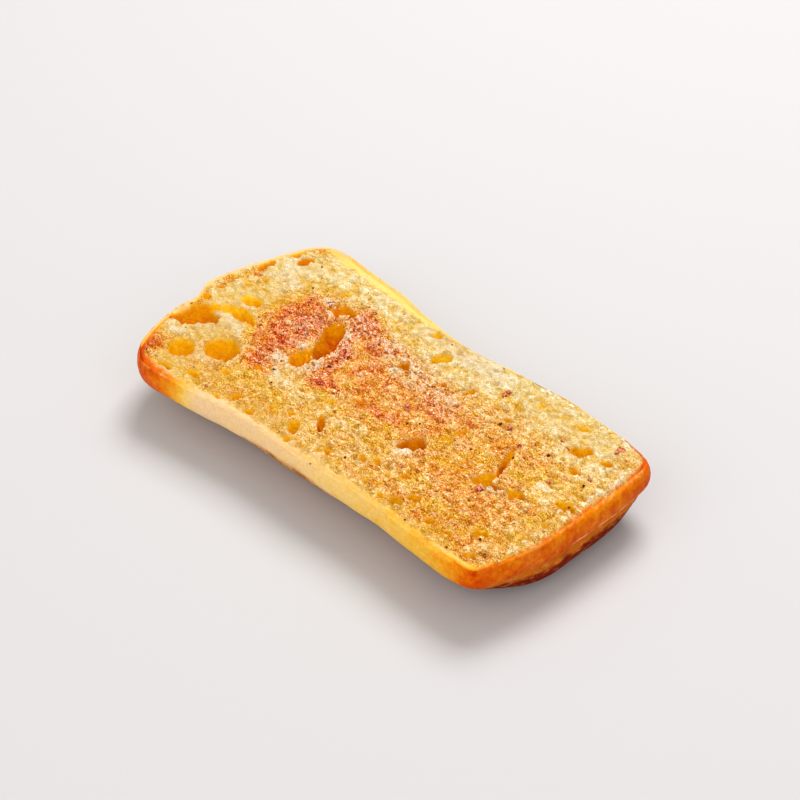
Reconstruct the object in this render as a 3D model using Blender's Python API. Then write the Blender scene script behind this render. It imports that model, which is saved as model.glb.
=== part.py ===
"""Garlic bread: the lower half of a ciabatta roll, split flat, buttered and toasted.

One solid, in metres, +Z up. The long axis lies along X and the cut face looks up.
The origin is under the middle of the footprint, on the surface that the bread rests on.
"""

import math

import bmesh
import bpy
import numpy as np
from mathutils import Vector, noise

MM = 0.001

# Driving dimensions, in millimetres.
THICKNESS = 25.0  # flat spot of the underside to the cut face
FOOTPRINT_SHIFT = (6.5, 0.2)  # from the rim stations' own zero to the middle of the footprint
REST_SHARE = 0.85  # the underside is flat where its dome function passes this
DOME_POWER = 1.6
CRUMB_SWELL = 0.7  # height of the slow swells of the cut face
CRUMB_LUMPS = 0.8  # height of the crags between the holes
CRUST_DENTS = 0.5

# The rim of the cut face, side by side round the roll: x, y, how far the crust bulges out below
# the rim there, how much of the wall is the full end wall, and the share of the wall's height.
# Each side starts at its corner.
RIM_NEAR = [
    (-91, -46.8, 1.4, 0, 1), (-83, -51.3, 1.4, 0, 1), (-69, -50, 1.5, 0, 1),
    (-55, -48.4, 1.4, 0, 1), (-40, -46, 1.3, 0, 1), (-22, -44.8, 1.2, 0, 1),
    (-3, -44.4, 1.2, 0, 1), (17, -42.7, 1.2, 0, 1), (36, -41.9, 1.4, 0, 1),
    (55, -42.5, 1.5, 0, 1), (74, -42.6, 1.4, 0, 1),
]
RIM_RIGHT = [
    (86.6, -41.0, 0.6, 0, 0.84), (89.8, -30, 1.1, 0.4, 0.94), (91.8, -12, 1.8, 0.95, 1),
    (91.0, 4, 2.6, 1, 1), (90.0, 20, 3.0, 1, 1), (89.0, 33, 3.0, 0.8, 1),
]
RIM_FAR = [
    (86.2, 45.0, 2.6, 0.4, 1), (75, 48.6, 1.0, 0.2, 1), (59, 49.8, 0.6, 0, 1),
    (41, 50.2, 0.6, 0, 1), (23, 48.2, 0.6, 0, 1), (5, 45.8, 0.7, 0, 1),
    (-14, 44.6, 0.9, 0, 1), (-31, 46.2, 1.2, 0, 1), (-48, 49, 1.5, 0, 1),
    (-65, 49.8, 1.6, 0, 1), (-80, 51, 1.6, 0, 1),
]
RIM_LEFT = [
    (-89.5, 49, 1.6, 0, 1), (-96, 41, 1.4, 0, 1), (-100, 29, 1.3, 0, 1),
    (-103.6, 15, 1.3, 0, 1), (-105.6, 0, 1.2, 0, 1), (-101.4, -10, 1.2, 0, 1),
    (-101, -20, 1.4, 0, 1), (-98.8, -30, 1.5, 0, 1), (-95.4, -40, 1.5, 0, 1),
]

# The side wall from the rim down: share of the bulge, inset and depth, ring by ring.
# Along the sides a low wall turns in under the roll; at the right end the wall stays full.
SIDE_WALL = [
    (0.0, 0.0, 0.0), (0.55, 0.0, 1.2), (1.0, 0.0, 4.0), (0.95, 0.0, 7.0), (0.6, 0.0, 9.4),
    (0.3, 0.5, 10.8), (0.1, 1.9, 12.4), (0.0, 4.2, 14.2),
]
END_WALL = [
    (0.0, 0.0, 0.0), (0.55, 0.0, 1.3), (1.0, 0.0, 4.2), (1.0, 0.0, 8.2), (0.7, 0.0, 10.0),
    (0.2, 0.5, 11.0), (0.7, 0.1, 13.0), (0.6, 0.1, 15.8),
]

# Grid of the solid: quads along and across the cut face, and rings down the wall.
LENGTH_QUADS, WIDTH_QUADS = 50, 25
WALL_RINGS = len(SIDE_WALL) - 1
CURVE_STEPS = 12

# Open holes of the crumb: centre x, y, length, width, turn in degrees, depth.
HOLES = [
    # The left end: one large crust-lined pocket, a trough and two gold bubbles.
    (-93.0, -18.8, 16.5, 13.5, 55, 9.0), (-82.0, -5.6, 21.0, 7.8, -4, 4.4),
    (-67.5, -24.0, 16.5, 14.0, 40, 8.5), (-80.0, -36.0, 13.0, 10.5, 20, 6.5),
    (-85.0, 3.5, 11.0, 6.0, 10, 3.5), (-89.5, 35.5, 7.5, 4.5, 70, 4.0),
    (-95.5, 34.0, 7.0, 3.6, 75, 3.2), (-97.6, 23.0, 8.5, 3.4, 80, 3.2),
    (-88.0, -43.0, 8.0, 5.5, -40, 3.0), (-77.0, -47.0, 9.0, 3.0, 5, 2.4),
    # The long slit and the bubbles round it.
    (-49.6, 15.6, 13.0, 7.8, -56, 8.0), (-44.8, 6.4, 18.0, 8.0, -64, 9.5),
    (-43.6, -4.6, 14.0, 7.0, -70, 5.0), (-55.0, 25.6, 11.0, 7.5, 10, 5.0),
    (-28.0, 16.0, 6.0, 5.0, 30, 2.0), (-15.0, 20.0, 6.5, 3.8, 100, 4.0),
    (-9.0, 33.0, 9.0, 7.0, 70, 5.0), (-11.0, -7.0, 7.0, 5.0, 20, 2.0),
    # The near strip.
    (-43.2, -38.6, 6.5, 4.6, 10, 4.0), (-34.0, -41.0, 4.6, 4.0, 0, 3.2),
    (-35.8, -33.4, 4.4, 3.8, 30, 3.2), (-16.0, -34.6, 9.5, 6.0, -50, 5.0),
    (-12.0, -41.4, 4.4, 3.8, -40, 3.2), (-10.8, -26.0, 12.0, 3.2, -45, 3.6),
    (3.4, -34.8, 6.5, 3.8, -45, 3.4), (15.0, -28.6, 5.0, 3.2, -20, 2.6),
    (20.5, -26.4, 6.5, 3.0, -25, 2.6),
    # The middle and the right half.
    (13.6, 27.0, 7.0, 4.2, 75, 3.8), (22.0, -9.6, 11.0, 8.0, 70, 8.5),
    (35.5, 26.0, 6.0, 4.4, 20, 3.0), (29.0, 8.0, 6.5, 4.2, 80, 2.8),
    (52.0, 8.6, 22.0, 4.2, -64, 6.0), (53.5, -4.0, 11.0, 8.5, 70, 5.5),
    (60.0, -4.4, 9.0, 3.8, 20, 6.0), (68.0, -2.0, 8.0, 5.2, 5, 4.0),
    (66.6, 32.6, 10.0, 8.0, 50, 5.0), (78.2, 34.2, 6.6, 5.0, 20, 3.6),
    (72.5, 22.5, 6.4, 4.2, 0, 3.0), (41.0, -35.4, 8.0, 6.2, -20, 5.5),
    (44.0, -29.6, 7.0, 5.2, -60, 4.5), (84.0, 6.0, 9.0, 4.4, 10, 3.6),
    (73.5, -25.0, 6.0, 4.6, 30, 3.0), (82.0, -35.6, 9.0, 5.4, 15, 3.0),
]
HOLE_ROUGHNESS = 0.1
HOLE_LEAN = 5.0
HOLE_SINK = 0.3  # share of its depth by which a hole's widest level lies under the cut face

TOASTED_COLOR = (0.78, 0.45, 0.15, 1.0)
TOASTED_ROUGHNESS = 0.62


def clear_scene():
    for obj in list(bpy.data.objects):
        bpy.data.objects.remove(obj, do_unlink=True)


def new_collection(name):
    collection = bpy.data.collections.new(name)
    bpy.context.scene.collection.children.link(collection)
    return collection


def closed_curve(stations, steps):
    """A smooth closed curve through the stations (Catmull-Rom), steps points to a span."""
    here = np.array(stations, float)[:, None, :]
    before, after, further = (np.roll(here, shift, axis=0) for shift in (1, -1, -2))
    t = (np.arange(steps) / steps)[None, :, None]
    curve = 0.5 * (
        2 * here
        + (after - before) * t
        + (2 * before - 5 * here + 4 * after - further) * t**2
        + (3 * here - before - 3 * after + further) * t**3
    )
    return curve.reshape(-1, here.shape[2])


class Rim:
    """The closed rim of the cut face, read by side and by share of that side's length."""

    def __init__(self, sides, steps):
        points = closed_curve([station for side in sides for station in side], steps)
        along = np.roll(points[:, :2], -1, axis=0) - np.roll(points[:, :2], 1, axis=0)
        along /= np.linalg.norm(along, axis=1)[:, None]
        outward = np.stack([along[:, 1], -along[:, 0]], axis=1)
        self.rows = np.hstack([points, outward])
        self.corners = np.cumsum([0] + [len(side) * steps for side in sides])

    def at(self, side, share):
        """x, y, bulge, fullness, height and the outward direction, for an array of shares."""
        first, last = self.corners[side], self.corners[side + 1]
        rows = self.rows[np.arange(first, last + 1) % len(self.rows)]
        lengths = np.linalg.norm(np.diff(rows[:, :2], axis=0), axis=1)
        reached = np.concatenate([[0], np.cumsum(lengths)])
        wanted = share * reached[-1]
        return np.stack([np.interp(wanted, reached, column) for column in rows.T], axis=-1)


def smoothstep(low, high, value):
    t = np.clip((value - low) / (high - low), 0, 1)
    return t * t * (3 - 2 * t)


def noise_at(points, size, seed):
    """Smooth noise from -1 to 1 at each point, with features of the given size."""
    shift = Vector((seed * 17.3, seed * 9.1, seed * 5.7))
    return np.array([noise.noise(Vector(point) / size + shift) for point in points])


def wall_points(rim, side, share, level):
    """Points of the side wall: level 1 is the rim and level 0 the edge of the underside."""
    x, y, bulge, fullness, height, out_x, out_y = rim.at(side, share).T
    ring = (1 - level) * WALL_RINGS
    steps = np.arange(WALL_RINGS + 1)
    low_wall = [np.interp(ring, steps, column) for column in np.array(SIDE_WALL).T]
    full_wall = [np.interp(ring, steps, column) for column in np.array(END_WALL).T]
    share_of_bulge, inset, depth = (
        low + (full - low) * fullness for low, full in zip(low_wall, full_wall)
    )
    out = bulge * share_of_bulge - inset
    return np.stack([x + out_x * out, y + out_y * out, THICKNESS - depth * height], axis=-1)


def blend_borders(rim, u, v, level):
    """The surface spanned by the four sides of one ring (a Coons patch), u and v from 0 to 1."""
    zero, one = np.zeros_like(u), np.ones_like(u)
    near, right = wall_points(rim, 0, u, level), wall_points(rim, 1, v, level)
    far, left = wall_points(rim, 2, 1 - u, level), wall_points(rim, 3, 1 - v, level)
    near_left, near_right = wall_points(rim, 0, zero, level), wall_points(rim, 1, zero, level)
    far_right, far_left = wall_points(rim, 2, zero, level), wall_points(rim, 2, one, level)
    u, v = u[:, None], v[:, None]
    across = (1 - v) * near + v * far
    along = (1 - u) * left + u * right
    twice = (1 - v) * ((1 - u) * near_left + u * near_right) + v * (
        (1 - u) * far_left + u * far_right
    )
    return across + along - twice


def place(rim, box):
    """Takes each point of the unit slab to its place on the bread."""
    u, v, level = box.T
    points = blend_borders(rim, u, v, level)
    inner = 16 * np.clip(u * (1 - u) * v * (1 - v), 0, None)
    on_cut_face, underneath = level > 0.999, level < 0.001

    steepness = 1 - 0.5 * smoothstep(0.75, 1, u) * smoothstep(-0.15, 0.35, v)
    dome = 1 - np.clip(1 - inner**steepness / REST_SHARE, 0, None) ** DOME_POWER
    dents = noise_at(points, 21.0, 3) + 0.6 * noise_at(points, 9.0, 4)
    on_wall = ~on_cut_face & ~underneath
    points[:, 2] *= np.where(underneath, 1 - dome, 1)
    points[:, 2] += np.where(underneath, CRUST_DENTS * dents * dome * (1 - dome) * 4, 0)
    points[:, 1] += np.where(on_wall, CRUST_DENTS * dents * np.sign(points[:, 1]), 0)

    swell = noise_at(points, 34.0, 1)
    lumps = noise_at(points, 7.5, 2)
    fade = smoothstep(0, 0.15, inner)
    crumb = CRUMB_SWELL * swell + CRUMB_LUMPS * lumps * fade
    points[:, 2] += np.where(on_cut_face, crumb, 0)
    points[:, :2] += FOOTPRINT_SHIFT
    return points * MM


def build_bread(collection, material):
    """A grid pulled up into a slab, its wall cut into rings, each point then set in its place."""
    bm = bmesh.new()
    bmesh.ops.create_grid(bm, x_segments=LENGTH_QUADS, y_segments=WIDTH_QUADS, size=0.5)
    bmesh.ops.translate(bm, verts=bm.verts[:], vec=(0.5, 0.5, 0))
    raised = bmesh.ops.extrude_face_region(bm, geom=bm.faces[:], use_keep_orig=True)["geom"]
    top = [item for item in raised if isinstance(item, bmesh.types.BMVert)]
    bmesh.ops.translate(bm, verts=top, vec=(0, 0, 1))
    rungs = [edge for edge in bm.edges if abs(edge.verts[0].co.z - edge.verts[1].co.z) > 0.5]
    bmesh.ops.subdivide_edges(bm, edges=rungs, cuts=WALL_RINGS - 1, use_grid_fill=True)
    box = np.array([vertex.co[:] for vertex in bm.verts])
    rim = Rim([RIM_NEAR, RIM_RIGHT, RIM_FAR, RIM_LEFT], CURVE_STEPS)
    for vertex, point in zip(bm.verts, place(rim, box)):
        vertex.co = point
    bmesh.ops.recalc_face_normals(bm, faces=bm.faces[:])
    mesh = bpy.data.meshes.new("garlic_bread")
    bm.to_mesh(mesh)
    bm.free()
    mesh.shade_smooth()
    mesh.materials.append(material)
    bread = bpy.data.objects.new("garlic_bread", mesh)
    collection.objects.link(bread)
    return bread


def build_hole(index, hole, collection):
    """One bubble of the crumb: a rough squashed ball sunk into the cut face."""
    x, y, length, width, turn, depth = hole
    bm = bmesh.new()
    segments = 12 if length > 10 else 8
    bmesh.ops.create_uvsphere(bm, u_segments=segments, v_segments=segments // 2, radius=1)
    for vertex in bm.verts:
        bump = noise.noise(vertex.co * 1.4 + Vector((index * 3.7, index * 1.3, 0)))
        vertex.co *= 1 + HOLE_ROUGHNESS * 2 * bump
    widest = 1 / math.sqrt(1 - HOLE_SINK**2)
    radii = Vector((length / 2 * widest, width / 2 * widest, depth / (1 + HOLE_SINK)))
    bmesh.ops.scale(bm, verts=bm.verts[:], vec=radii * MM)
    mesh = bpy.data.meshes.new(f"hole_{index:02d}")
    bm.to_mesh(mesh)
    bm.free()
    ball = bpy.data.objects.new(f"hole_{index:02d}", mesh)
    lean = math.radians(HOLE_LEAN)
    ball.rotation_euler = (lean * math.sin(index), lean * math.cos(index), math.radians(turn))
    ball.location = (
        (x + FOOTPRINT_SHIFT[0]) * MM,
        (y + FOOTPRINT_SHIFT[1]) * MM,
        (THICKNESS - depth * HOLE_SINK / (1 + HOLE_SINK)) * MM,
    )
    ball.hide_render = True
    ball.display_type = "WIRE"
    collection.objects.link(ball)


def cut_holes(bread, cutters):
    boolean = bread.modifiers.new("crumb holes", "BOOLEAN")
    boolean.operation = "DIFFERENCE"
    boolean.operand_type = "COLLECTION"
    boolean.collection = cutters
    boolean.solver = "EXACT"


def toasted_material():
    material = bpy.data.materials.new("toasted_crumb")
    material.use_nodes = True
    shader = material.node_tree.nodes["Principled BSDF"]
    shader.inputs["Base Color"].default_value = TOASTED_COLOR
    shader.inputs["Roughness"].default_value = TOASTED_ROUGHNESS
    shader.inputs["Metallic"].default_value = 0.0
    return material


def main():
    clear_scene()
    parts = new_collection("garlic_bread")
    cutters = new_collection("crumb_hole_cutters")
    bread = build_bread(parts, toasted_material())
    for index, hole in enumerate(HOLES):
        build_hole(index, hole, cutters)
    cut_holes(bread, cutters)


main()
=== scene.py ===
"""Looks of the garlic bread: a half ciabatta roll, split flat, buttered, seasoned and toasted.

Lengths are in millimetres until a point goes into a mesh. The rim stations and the wall are the
part's own, and the open bubbles follow the part's. The crumb's pores and torn relief, the
browning, the butter and the seasoning are made here.
"""

import math

import bmesh
import bpy
import numpy as np
from mathutils import Matrix, Vector, noise
from mathutils.bvhtree import BVHTree


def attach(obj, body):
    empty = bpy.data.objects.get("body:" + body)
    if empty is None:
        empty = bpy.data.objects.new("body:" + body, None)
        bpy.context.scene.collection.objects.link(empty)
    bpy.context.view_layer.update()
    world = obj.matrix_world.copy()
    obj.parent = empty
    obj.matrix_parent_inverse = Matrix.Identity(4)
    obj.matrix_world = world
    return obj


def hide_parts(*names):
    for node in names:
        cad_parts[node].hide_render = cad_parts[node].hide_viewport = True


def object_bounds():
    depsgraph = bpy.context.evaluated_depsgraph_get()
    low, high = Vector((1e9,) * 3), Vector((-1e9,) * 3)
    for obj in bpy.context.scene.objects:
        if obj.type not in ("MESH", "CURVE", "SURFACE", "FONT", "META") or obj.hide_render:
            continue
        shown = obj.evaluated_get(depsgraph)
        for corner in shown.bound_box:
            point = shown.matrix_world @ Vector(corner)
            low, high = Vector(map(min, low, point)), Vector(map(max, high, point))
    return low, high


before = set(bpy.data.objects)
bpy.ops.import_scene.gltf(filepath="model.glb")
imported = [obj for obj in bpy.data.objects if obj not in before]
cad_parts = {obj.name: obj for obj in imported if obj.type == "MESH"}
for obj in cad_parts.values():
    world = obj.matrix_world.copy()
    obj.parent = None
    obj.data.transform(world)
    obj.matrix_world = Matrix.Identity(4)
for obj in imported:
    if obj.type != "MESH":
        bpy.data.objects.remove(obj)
cad_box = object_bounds()

MM = 0.001
THICKNESS = 25.0
FOOTPRINT_SHIFT = (6.5, 0.2)

# Rough size of the cut face, to turn shares of its length and width into distances.
CUT_LENGTH, CUT_WIDTH = 194, 94

# Points of a smooth curve to each rim station, and to each ring of the wall.
RIM_STEPS, RING_STEPS = 12, 16

# Grid of the roll: quads along and across, rings down the wall, and further cuts of each quad.
LENGTH_QUADS, WIDTH_QUADS, WALL_RINGS, FINE_CUTS = 95, 47, 3, 3

# Random pores: how many, their seed, and the stretch of x and y that they cover.
PORE_COUNT, PORE_SEED = 3600, 21
PORE_FIELD = (-106, 93), (-52, 51)

# Toppings: their seed, the stretch that they cover, and how deep in a bubble one may lie.
TOPPING_SEED = 5
TOPPING_FIELD = (-103, 91), (-47, 48)
DEEPEST_TOPPING = 2.2

# The photograph's view: degrees round from the near side and up, distance, shift right and up.
CAMERA_AZIMUTH, CAMERA_ELEVATION = 47.3, 39.0
CAMERA_DISTANCE = 1116.0
CAMERA_SHIFT = (2.85, 1.75)

# Rim of the cut face, side by side round the roll, each side from its own corner:
# x, y, bulge of the crust, share of the full end wall, share of the wall's height,
# bake of the crust from pale 0 to dark 1, and width of the skin that shows round the crumb.
RIM_NEAR = [
    (-91, -46.8, 1.4, 0, 1, 0.9, 6), (-83, -51.3, 1.4, 0, 1, 0.88, 3),
    (-69, -50, 1.5, 0, 1, 0.7, 1.6), (-55, -48.4, 1.4, 0, 1, 0.04, 2),
    (-40, -46, 1.3, 0, 1, 0.02, 2.2), (-22, -44.8, 1.2, 0, 1, 0.04, 2.2),
    (-3, -44.4, 1.2, 0, 1, 0.1, 2), (17, -42.7, 1.2, 0, 1, 0.2, 1.8),
    (36, -41.9, 1.4, 0, 1, 0.3, 1.6), (55, -42.5, 1.5, 0, 1, 0.4, 1.6),
    (74, -42.6, 1.4, 0, 1, 0.54, 2.4),
]
RIM_RIGHT = [
    (86.6, -41, 0.6, 0, 0.84, 0.89, 4.6), (89.8, -30, 1.1, 0.4, 0.94, 0.76, 0.5),
    (91.8, -12, 1.8, 0.95, 1, 0.8, 0.5), (91, 4, 2.6, 1, 1, 0.82, 0.5),
    (90, 20, 3, 1, 1, 0.76, 0.5), (89, 33, 3, 0.8, 1, 0.81, 0.8),
]
RIM_FAR = [
    (86.2, 45, 2.6, 0.4, 1, 0.88, 1.4), (75, 48.6, 1, 0.2, 1, 0.9, 0.2),
    (59, 49.8, 0.6, 0, 1, 0.1, 0.2), (41, 50.2, 0.6, 0, 1, 0.5, 0.2),
    (23, 48.2, 0.6, 0, 1, 0.2, 0.3), (5, 45.8, 0.7, 0, 1, 0.18, 0.4),
    (-14, 44.6, 0.9, 0, 1, 0.18, 0.8), (-31, 46.2, 1.2, 0, 1, 0.22, 3.4),
    (-48, 49, 1.5, 0, 1, 0.2, 5.2), (-65, 49.8, 1.6, 0, 1, 0.2, 5),
    (-80, 51, 1.6, 0, 1, 0.3, 5),
]
RIM_LEFT = [
    (-89.5, 49, 1.6, 0, 1, 0.4, 3), (-96, 41, 1.4, 0, 1, 0.5, 1.6),
    (-100, 29, 1.3, 0, 1, 0.42, 1.4), (-103.6, 15, 1.3, 0, 1, 0.36, 1.4),
    (-105.6, 0, 1.2, 0, 1, 0.3, 1.2), (-101.4, -10, 1.2, 0, 1, 0.46, 1.2),
    (-101, -20, 1.4, 0, 1, 0.66, 1.2), (-98.8, -30, 1.5, 0, 1, 0.62, 2.6),
    (-95.4, -40, 1.5, 0, 1, 0.8, 4.4),
]

# The wall from the rim down: share of the bulge, inset and depth, ring by ring.
SIDE_WALL = [
    (0, 0, 0), (0.55, 0, 1.2), (1, 0, 4), (0.95, 0, 7), (0.6, 0, 9.4),
    (0.3, 0.5, 10.8), (0.1, 1.9, 12.4), (0, 4.2, 14.2),
]
END_WALL = [
    (0, 0, 0), (0.55, 0, 1.3), (1, 0, 4.2), (1, 0, 8.2), (0.7, 0, 10),
    (0.2, 0.5, 11), (0.7, 0.1, 13), (0.6, 0.1, 15.8),
]

# The underside: where its dome turns flat, how round it is, and how deep its dents are.
REST_SHARE = 0.85
DOME_POWER = 1.6
DENT_DEPTH = 0.5

# The way that the bubbles' floors lean, and how far for each millimetre of depth.
LEAN = (0.735, -0.678)
LEAN_REACH = 0.45

# How far a bubble's edge wanders for each millimetre of its width, up to the width that counts.
WANDER, WANDER_WIDTH = 0.17, 9

# How far the edge is frayed, both sides together, and the largest share that this may take.
FRAY, MOST_FRAY = 1.8, 0.26

# The lip at the near side of a bubble: its width, and its rise for each millimetre of depth.
LIP_WIDTH, LIP_RISE = 1.8, 0.09

# Open bubbles of the crumb: centre x, y, length, width, turn in degrees, depth, warmth of the
# colour inside from yellow 0 to toasted brown 1.
BUBBLES = [
    (-94.8, -18, 17.4, 17.6, 50, 8.5, 0.45), (-88.6, -16.6, 12, 9, 20, 6, 0.5),
    (-97.8, -22.5, 11, 5, -68, 4, 0.95), (-82, -5.2, 21, 8.4, -2, 4, 0.14),
    (-90.5, -8.6, 8, 5, 20, 2.6, 0.12), (-70, -24, 18.8, 14, 137, 8.5, 0.27),
    (-68.5, -28.6, 8.5, 7.5, 60, 7, 0.3), (-81.2, -34.9, 13.8, 10.6, 137, 6.5, 0.18),
    (-84.5, 3.4, 12, 7, 8, 3.2, 0.05), (-89.5, 36, 8, 5, 80, 2.8, 0.6),
    (-94.9, 36.8, 8, 4.4, 75, 2.8, 0.35), (-98.8, 23.8, 9, 4.4, 80, 2.6, 0.45),
    (-89, -41.5, 7, 2.4, 75, 2.2, 1), (-77, -47, 9, 3, 5, 2.4, 0.2),
    (-49.4, 15.4, 14, 9.2, -52, 6, 0.58), (-44.4, 6.4, 19, 10.4, -62, 7, 0.64),
    (-45.2, -5.8, 14, 8.6, -66, 4.6, 0.44), (-55.5, 25.4, 11.5, 8, 10, 4, 0.6),
    (-46.6, 10.4, 12, 9.6, -58, 6.4, 0.6), (-28, 16, 6, 4, 30, 0.9, 1),
    (-15, 19.6, 7.5, 4.4, 100, 4, 0.7), (-8.6, 32.6, 9.6, 8, 80, 5, 0.02),
    (-11, -7, 7, 5, 20, 1, 0.7), (-43.2, -38.6, 6.5, 4.6, 10, 4, 0.3),
    (-34, -41, 4.6, 4, 0, 3.2, 0.25), (-35.8, -33.4, 4.4, 3.8, 30, 3.2, 0.25),
    (-16, -34.6, 9.5, 6, -50, 5, 0.2), (-12, -41.4, 4.4, 3.8, -40, 3.2, 0.2),
    (-10.8, -26, 12, 3.2, -45, 3.6, 0.62), (3.4, -34.8, 6.5, 3.8, -45, 3.4, 0.3),
    (15, -28.6, 5, 3.2, -20, 2.6, 0.15), (20.5, -26.4, 6.5, 3, -25, 2.6, 0.25),
    (13.6, 27, 7, 4.2, 75, 3.8, 0.35), (21.6, -9.8, 13, 8.6, 66, 7.5, 0.75),
    (35.5, 26, 6, 4.4, 20, 3, 0.5), (29, 8, 6.5, 4.2, 80, 2.8, 0.45),
    (51.6, 8.8, 20, 3.4, -64, 4.2, 0.5), (53.5, -4, 11, 8, 70, 4.6, 0.3),
    (60, -4.2, 8, 3.2, 20, 5, 0.8), (67.5, -1.8, 9, 6.4, 5, 3.6, 0.4),
    (66.6, 32.6, 10, 8, 50, 5, 0.4), (78.2, 34.2, 6.6, 5, 20, 3.6, 0.3),
    (72.5, 22.5, 6.4, 4.2, 0, 3, 0.35), (41, -35.4, 8, 6.2, -20, 5.5, 0.2),
    (44, -29.6, 7, 5.2, -60, 4.5, 0.35), (84, 6, 9, 4.4, 10, 3.6, 0.25),
    (73.5, -25, 6, 4.6, 30, 3, 0.35), (79.6, -36.6, 8, 3.4, 10, 1.2, 0.4),
]

# Small pits that the part leaves out, listed in the same way.
PITS = [
    (-96, 16.8, 3.6, 2.4, 60, 1.8, 0.8), (-100.2, 8.8, 4.6, 3.2, 80, 2.2, 0.5),
    (-100, 1, 4, 2.8, 60, 1.6, 0.4), (-98.6, -7, 7, 3.4, -30, 1.8, 0.4),
    (-93.5, 9, 3.6, 2.8, 0, 1.6, 0.2), (-91, 17, 3.4, 2.4, 30, 1.5, 0.2),
    (-22.5, -30, 4.4, 2.8, 10, 2, 0.2), (1.5, -37.6, 3.4, 2.6, -40, 2, 0.2),
    (10.8, -28.6, 3.2, 2.6, 0, 1.8, 0.2), (-17, -16, 5.5, 3.4, 80, 1.6, 0.2),
    (-16, 3.2, 5.5, 4, 40, 0.8, 0.7), (27.2, 26.6, 4.4, 3.6, 30, 1.7, 0.5),
    (32.8, -24, 5, 3.4, 10, 1.6, 0.6), (27.5, 1.4, 4.4, 3.4, 50, 1.6, 0.2),
    (41.2, -3.2, 4.6, 3.4, 10, 1.5, 0.4), (58, 42.4, 6, 2.8, 10, 1.7, 0.1),
    (38, 41.4, 4.4, 2.8, 40, 1.7, 0.1), (-51, -21.5, 5.4, 3, -20, 1.6, 0.5),
    (87, 2.4, 3.4, 2.4, 0, 1.6, 0.2), (86.6, -17.6, 3.6, 2.6, 60, 1.6, 0.2),
    (86, -6, 3.2, 2.4, 0, 1.5, 0.2), (3.8, 22.6, 3.4, 2.6, 0, 1.8, 0.6),
    (-63, 33, 6, 3.6, 75, 1.3, 0.3), (-65, 28.5, 5, 3, 10, 1, 0.3),
    (-36, 36.5, 3.2, 2.2, 20, 1.5, 0.1), (-19, 41.5, 5.2, 3.4, 10, 1.8, 0.05),
    (47.5, -33.5, 3.4, 2.4, 0, 1.6, 0.2), (57, -34, 5.6, 3, 30, 1.7, 0.4),
    (66, -34.5, 4.6, 3, 0, 1.6, 0.3), (60.5, -27, 3.4, 2.6, 60, 1.5, 0.4),
    (34.5, -38, 4.2, 2.4, 0, 1.4, 0.1), (25, -36.5, 3.8, 2.4, -30, 1.4, 0.1),
    (-57, -33, 6, 3.8, 20, 2, 0.1), (-65.5, -42.5, 6.4, 4, 10, 2.2, 0.1),
    (-49, -44.5, 4.8, 2.4, 0, 1.4, 0.1), (-30, -33, 3.4, 2.4, 60, 1.4, 0.2),
]

# Patches of the cut face, each by centre x, y, reach along and across, turn and strength:
# where it is toasted, where it is browned, and where it is pale, partly pale crumb and partly
# painted highlight on bubble lips and butter.
TOASTED = [
    (-62, 4, 26, 15, 103, 0.95), (-57, 9, 8, 10, 0, 0.6), (-42, 25, 12, 9, -20, 0.82),
    (-36.5, 5, 13, 4.5, 115, 0.8), (-29, 17, 6, 4, 0, 0.75), (-28, -11, 9, 6, 10, 0.8),
    (1, -7, 15, 5, 4, 0.6), (9, 10, 8, 8, 0, 0.42), (22, 1, 6, 8, 0, 0.45),
    (-20, 24, 12, 5, 0, 0.5), (27, 26, 5, 6, 0, 0.45), (-54, -19, 8, 6, -30, 0.65),
    (-12, 6, 12, 8, 0, 0.34), (-26, 4, 8, 8, 0, 0.28), (-100, -21, 2.4, 7, 0, 0.85),
    (-90.5, -43, 3, 7, 15, 0.85), (-84, -48, 4, 2, 0, 0.6),
]
BROWNED = [
    (-23, 8, 16, 12, 0, 0.55), (6, 9, 14, 9, 0, 0.4), (20, 12, 12, 12, 10, 0.34),
    (0, 19, 13, 5, 0, 0.3), (0, -6, 22, 9, 0, 0.3), (48, 14, 20, 14, 0, 0.3),
    (42, -13, 20, 11, 0, 0.32), (68, -16, 16, 12, 0, 0.26), (0, 0, 84, 30, 0, 0.32),
    (-52, -36, 44, 13, 0, 0.31), (60, -34, 44, 9, 0, 0.42), (4, -34, 30, 14, 0, 0.18),
    (62, -10, 34, 38, 0, 0.24), (-48, -43, 15, 5, 0, 0.16), (88, 0, 8, 40, 0, 0.14),
    (-90, -43, 6, 8, 0, 0.95), (-100, -21, 2.6, 8, 0, 1), (-101, 4, 3, 8, 0, 0.4),
    (-98, 17, 3, 5, 0, 0.45), (-92, 46, 7, 4, 0, 0.45), (84, 42, 8, 6, 0, 0.3),
]
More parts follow.
